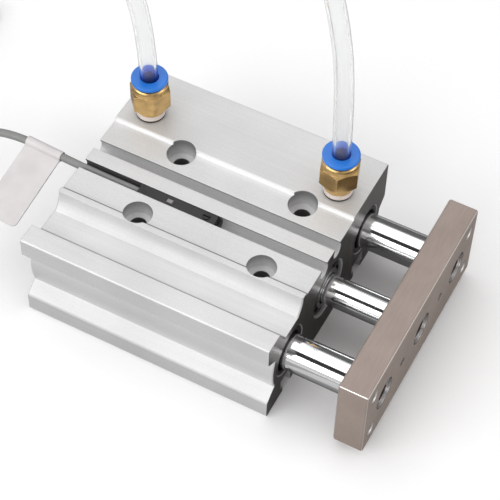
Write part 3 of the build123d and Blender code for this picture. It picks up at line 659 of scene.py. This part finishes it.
def tube_surface(path, outer_r, inner_r):
    """Vertices and faces of a hollow tube: a circle carried out along one wall and back along the other.

    place = point + radius * (cos(turn) * across + sin(turn) * upward); the two ends close as flat rings.
    """
    across, upward = frames_along(path)
    turn = np.linspace(0, 2 * math.pi, TUBE_SIDES, endpoint=False)[None, :, None]
    circle = np.cos(turn) * across[:, None] + np.sin(turn) * upward[:, None]
    outer = path[:, None] + outer_r * circle
    inner = path[:, None] + inner_r * circle
    loop = np.concatenate([outer, inner[::-1]])
    return loop.reshape(-1, 3), ring_faces(len(loop), TUBE_SIDES, closed=True)


def studio_camera(stage):
    """Camera from the azimuth, elevation, roll, lens and distance that fit the picture."""
    az, el, roll = stage.azimuth, stage.elevation, stage.roll
    back = np.array([math.sin(az) * math.cos(el), -math.cos(az) * math.cos(el), math.sin(el)])
    right = np.cross((0.0, 0.0, 1.0), back)
    right /= np.linalg.norm(right)
    up = np.cross(back, right)
    turned_right = math.cos(roll) * right + math.sin(roll) * up
    turned_up = math.cos(roll) * up - math.sin(roll) * right
    target = np.array([stage.target_x, 0.0, stage.target_z])
    place = target + turned_right * stage.shift_right + turned_up * stage.shift_up + back * stage.distance
    data = bpy.data.cameras.new("camera")
    data.sensor_width = SENSOR_WIDTH
    data.lens = stage.lens
    data.clip_start = 0.01
    data.clip_end = 50.0
    camera = bpy.data.objects.new("camera", data)
    bpy.context.scene.collection.objects.link(camera)
    turn = Matrix((turned_right, turned_up, back)).transposed().to_4x4()
    camera.matrix_world = Matrix.Translation(place) @ turn
    bpy.context.scene.camera = camera


def turn_to(thing, aim, axis):
    """Turns an object at its place so that an axis of it points at another place."""
    thing.rotation_euler = (Vector(aim) - thing.location).to_track_quat(axis, "Y").to_euler()


def softbox(name, place, size, power):
    """White rectangular area light at a place, turned towards the object."""
    data = bpy.data.lights.new(name, "AREA")
    data.shape = "RECTANGLE"
    data.size, data.size_y = size
    data.energy = power
    lamp = bpy.data.objects.new(name, data)
    bpy.context.scene.collection.objects.link(lamp)
    lamp.location = place
    turn_to(lamp, STUDIO_CENTRE, "-Z")


def flat_sheet(name, width, height, material):
    """One rectangle centred on its object's origin."""
    half_w, half_h = width / 2, height / 2
    corners = [(-half_w, -half_h, 0), (half_w, -half_h, 0), (half_w, half_h, 0), (-half_w, half_h, 0)]
    mesh = bpy.data.meshes.new(name)
    mesh.from_pydata(corners, [], [(0, 1, 2, 3)])
    mesh.materials.append(material)
    piece = bpy.data.objects.new(name, mesh)
    bpy.context.scene.collection.objects.link(piece)
    return piece


def card(name, place, aim, size, brightness):
    """Card seen only in polished parts' reflections, as shade there: it throws no shadow and is not seen
    itself.
    """
    board = Look(name).finish({"Base Color": plain_grey(brightness), "Roughness": 0.9})
    piece = flat_sheet(name, *size, board)
    piece.location = place
    turn_to(piece, aim, "Z")
    for way in ("camera", "diffuse", "shadow", "transmission", "volume_scatter"):
        setattr(piece, f"visible_{way}", False)


class StageSettings(bpy.types.PropertyGroup):
    """Camera, floor and lights"""

    azimuth: bpy.props.FloatProperty(
        name="Azimuth", description="Way round to the camera", default=math.radians(26.61), subtype="ANGLE"
    )
    elevation: bpy.props.FloatProperty(
        name="Elevation", description="Camera's height angle", default=math.radians(52.84), subtype="ANGLE"
    )
    roll: bpy.props.FloatProperty(
        name="Roll", description="Camera's roll", default=math.radians(1.67), subtype="ANGLE"
    )
    lens: bpy.props.FloatProperty(name="Lens", description="Focal length on a 36 mm sensor", default=124.64)
    distance: bpy.props.FloatProperty(
        name="Distance", description="From the camera to its target", default=0.556, unit="LENGTH"
    )
    target_x: bpy.props.FloatProperty(
        name="Target X", description="Point the camera turns round", default=0.012, unit="LENGTH"
    )
    target_z: bpy.props.FloatProperty(
        name="Target Z", description="Height of the target", default=0.018, unit="LENGTH"
    )
    shift_right: bpy.props.FloatProperty(
        name="Shift right", description="Camera's sideways shift", default=-0.00099, unit="LENGTH"
    )
    shift_up: bpy.props.FloatProperty(
        name="Shift up", description="Camera's upward shift", default=0.00184, unit="LENGTH"
    )
    floor_size: bpy.props.FloatProperty(
        name="Floor", description="Width of the floor", default=8.0, unit="LENGTH"
    )
    world_strength: bpy.props.FloatProperty(
        name="World", description="Brightness of the white surroundings", default=0.64
    )
    key_power: bpy.props.FloatProperty(
        name="Key", description="Power of the light at the near side", default=5.4, unit="POWER"
    )
    overhead_power: bpy.props.FloatProperty(
        name="Overhead", description="Power of the light overhead", default=2.4, unit="POWER"
    )
    fill_power: bpy.props.FloatProperty(
        name="Fill", description="Power of the light before the end plate", default=1.3, unit="POWER"
    )


class FinishSettings(bpy.types.PropertyGroup):
    """Colours of the main pieces and the rounding of their edges"""

    silver: bpy.props.FloatVectorProperty(
        name="Silver", description="Anodised aluminium", subtype="COLOR", default=(0.80, 0.80, 0.80)
    )
    taupe: bpy.props.FloatVectorProperty(
        name="Taupe", description="Plated steel of the plate", subtype="COLOR", default=(0.345, 0.28, 0.247)
    )
    milled: bpy.props.FloatVectorProperty(
        name="Milled", description="Bare milled ends of the body", subtype="COLOR", default=(0.30, 0.29, 0.28)
    )
    chrome: bpy.props.FloatVectorProperty(
        name="Chrome", description="Chromed rods", subtype="COLOR", default=(0.90, 0.905, 0.91)
    )
    brass: bpy.props.FloatVectorProperty(
        name="Brass", description="Fitting bodies", subtype="COLOR", default=(0.64, 0.42, 0.175)
    )
    plated: bpy.props.FloatVectorProperty(
        name="Plated", description="Plating of the collars", subtype="COLOR", default=(0.84, 0.75, 0.70)
    )
    blue: bpy.props.FloatVectorProperty(
        name="Blue", description="Release rings", subtype="COLOR", default=(0.012, 0.18, 0.66)
    )
    black: bpy.props.FloatVectorProperty(
        name="Black", description="Switch body", subtype="COLOR", default=(0.012, 0.012, 0.013)
    )
    edge: bpy.props.FloatProperty(
        name="Edge", description="Rounding of cut metal edges", default=0.0003, unit="LENGTH"
    )


class CordSettings(bpy.types.PropertyGroup):
    """Sizes and colours of the air tubes, the lead and its tag"""

    tube_d: bpy.props.FloatProperty(
        name="Tube diameter", description="Outside of the air tubes", default=0.006, unit="LENGTH"
    )
    tube_bore: bpy.props.FloatProperty(
        name="Tube bore", description="Inside of the air tubes", default=0.004, unit="LENGTH"
    )
    lead_d: bpy.props.FloatProperty(
        name="Lead diameter", description="Outside of the switch lead", default=0.0027, unit="LENGTH"
    )
    clear: bpy.props.FloatVectorProperty(
        name="Clear", description="Tube wall", subtype="COLOR", default=(0.97, 0.975, 0.975)
    )
    # the blue ring seen through the tube wall, painted into the wall's colour
    ring_seen_blue: bpy.props.FloatVectorProperty(
        name="Tint", description="Tube wall within the blue ring", subtype="COLOR", default=(0.12, 0.25, 0.85)
    )
    grey: bpy.props.FloatVectorProperty(
        name="Grey", description="Lead sheath", subtype="COLOR", default=(0.23, 0.23, 0.225)
    )
    tag: bpy.props.FloatVectorProperty(
        name="Tag", description="Film of the flag tag", subtype="COLOR", default=(0.62, 0.59, 0.59)
    )
    coil_turns: bpy.props.IntProperty(
        name="Coil turns", description="Whole turns of the put-away lead", default=4
    )
    coil_outer: bpy.props.FloatProperty(
        name="Coil radius", description="Outermost turn of the put-away lead", default=0.0178, unit="LENGTH"
    )


class CYLINDER_OT_stage(bpy.types.Operator):
    """Camera, floor, lights and world of the studio"""

    bl_idname = "cylinder.stage"
    bl_label = "Studio"

    def execute(self, context):
        stage = context.scene.cylinder_stage
        studio_camera(stage)
        look = Look("floor_paper")
        fibre = look.noise(scale=900.0, detail=3.0)
        pale = look.mix(fibre, plain_grey(PAPER_TONES[0]), plain_grey(PAPER_TONES[1]))
        paper = look.finish({"Base Color": pale, "Roughness": 0.85})
        floor = flat_sheet("floor", stage.floor_size, stage.floor_size, paper)
        floor.location.z = -FLOOR_DROP
        for name, place, size in LIGHTS:
            softbox(name, place, size, getattr(stage, f"{name}_power"))
        for settings in SHADE_CARDS:
            card(*settings)
        world = bpy.data.worlds.new("world")
        world.use_nodes = True
        background = world.node_tree.nodes["Background"]
        background.inputs["Color"].default_value = plain_grey(1.0)
        background.inputs["Strength"].default_value = stage.world_strength
        context.scene.world = world
        context.scene.view_settings.view_transform = "Standard"
        context.scene.view_settings.look = "None"
        return {"FINISHED"}


class CYLINDER_OT_tubes(bpy.types.Operator):
    """Two clear air tubes that leave the fittings, arch back over the body and lie down behind it"""

    bl_idname = "cylinder.tubes"
    bl_label = "Air tubes"

    def execute(self, context):
        settings = context.scene.cylinder_cords
        clear = tube_look("tube_clear", settings.clear, settings.ring_seen_blue)
        for side, route in (("rear", REAR_TUBE_ROUTE), ("front", FRONT_TUBE_ROUTE)):
            path = spline_points(route)
            verts, faces = tube_surface(path, settings.tube_d / 2, settings.tube_bore / 2)
            piece = new_piece(f"clear_tube_{side}", verts, faces, clear, "body", "tube_clear")
            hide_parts(f"air_tube_{side}")
        return {"FINISHED"}


class CYLINDER_OT_lead(bpy.types.Operator):
    """Switch lead with its put-away coil, cores and flag tag"""

    bl_idname = "cylinder.lead"
    bl_label = "Switch lead"

    def execute(self, context):
        settings = context.scene.cylinder_cords
        points = LEAD_ROUTE + coil_route(settings.lead_d / MM, settings.coil_turns, settings.coil_outer / MM)
        curve = route_spline("lead", points, settings.lead_d / 2)
        curve.materials.append(moulded_look("lead_sheath", settings.grey, rough=0.5, coat=0.1))
        lead = bpy.data.objects.new("lead", curve)
        context.scene.collection.objects.link(lead)
        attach(lead, "position_switch")
        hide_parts("switch_lead", "lead_coil")
        copper = machined_look("core_copper", COPPER_COLOUR, rough=0.3, edge=0.0)
        for name, colour, side in CORES:
            sheath = moulded_look(name, colour, rough=0.45)
            core = new_piece(f"{name}_wire", *core_surface(points[-1], side), sheath, "position_switch", name)
            core.data.materials.append(copper)
            faces = len(core.data.polygons)
            stripped = np.arange(faces) >= faces * (1 - CORE_BARE)
            core.data.polygons.foreach_set("material_index", stripped.astype(np.int32))
            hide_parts(name)
        path = spline_points(points)
        dress(["lead_tag"], moulded_look("tag_film", settings.tag, rough=0.4, coat=0.1))
        return {"FINISHED"}


class CYLINDER_OT_finishes(bpy.types.Operator):
    """Finishes of the body, plate, rods, fittings and switch"""

    bl_idname = "cylinder.finishes"
    bl_label = "Finishes"

    def execute(self, context):
        tones = context.scene.cylinder_finish
        edge = tones.edge
        dress(["barrel_body"], anodised_look("body_anodised", tones.silver, tones.milled, edge))
        dress(["end_plate"], plate_look("plate_steel", tones.taupe, tones.chrome, edge))
        chrome = chrome_look("rod_chrome", tones.chrome)
        dress(["guide_rod_near", "guide_rod_far", "piston_rod"], chrome)
        brass = brass_look("fitting_brass", tones.brass, tones.plated)
        dress(["fitting_body_rear", "fitting_body_front"], brass)
        blue = moulded_look("ring_blue", tones.blue, rough=0.3, coat=0.2)
        dress(["release_ring_rear", "release_ring_front"], blue)
        black = moulded_look("switch_black", tones.black, rough=0.45, coat=0.1)
        dress(["switch_body", "switch_clamp"], black)
        dress(["switch_lens"], window_look("lamp_window", WINDOW_COLOUR))
        cover = machined_look("cover_aluminium", COVER_COLOUR, rough=0.35, edge=edge)
        dress(["rod_cover", "head_cover", "piston"], cover)
        for name, colour, rough, pieces in SMALL_METALS:
            dress(pieces, machined_look(name, colour, rough, SMALL_EDGE))
        dress(RUBBER_PIECES, moulded_look("seal_rubber", RUBBER_COLOUR, rough=0.55))
        dress(["piston_wear_ring"], moulded_look("wear_resin", RESIN_COLOUR, rough=0.5))
        dress(["felt_wiper_near", "felt_wiper_far"], felt_look("wiper_felt", FELT_COLOUR))
        return {"FINISHED"}


class CYLINDER_PT_panel(bpy.types.Panel):
    """Buttons and settings of the add-on, in the sidebar"""

    bl_idname = "CYLINDER_PT_panel"
    bl_label = "Guided cylinder"
    bl_space_type = "VIEW_3D"
    bl_region_type = "UI"
    bl_category = "Cylinder"

    def draw(self, context):
        for operator in OPERATORS:
            self.layout.operator(operator.bl_idname)
        for group in GROUPS:
            settings = getattr(context.scene, group)
            box = self.layout.box()
            for name in settings.bl_rna.properties.keys():
                if name not in ("rna_type", "name"):
                    box.prop(settings, name)


OPERATORS = (CYLINDER_OT_stage, CYLINDER_OT_tubes, CYLINDER_OT_lead, CYLINDER_OT_finishes)
GROUPS = {"cylinder_stage": StageSettings, "cylinder_finish": FinishSettings, "cylinder_cords": CordSettings}


def register():
    """Registers the settings, operators and panel."""
    for name, group in GROUPS.items():
        bpy.utils.register_class(group)
        setattr(bpy.types.Scene, name, bpy.props.PointerProperty(type=group))
    for operator in OPERATORS:
        bpy.utils.register_class(operator)
    bpy.utils.register_class(CYLINDER_PT_panel)


def unregister():
    """Takes the settings, operators and panel away."""
    bpy.utils.unregister_class(CYLINDER_PT_panel)
    for operator in reversed(OPERATORS):
        bpy.utils.unregister_class(operator)
    for name, group in GROUPS.items():
        delattr(bpy.types.Scene, name)
        bpy.utils.unregister_class(group)


def main():
    """Registers the add-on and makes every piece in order."""
    register()
    bpy.ops.cylinder.stage()
    bpy.ops.cylinder.tubes()
    bpy.ops.cylinder.lead()
    bpy.ops.cylinder.finishes()


if __name__ == "__main__":
    main()
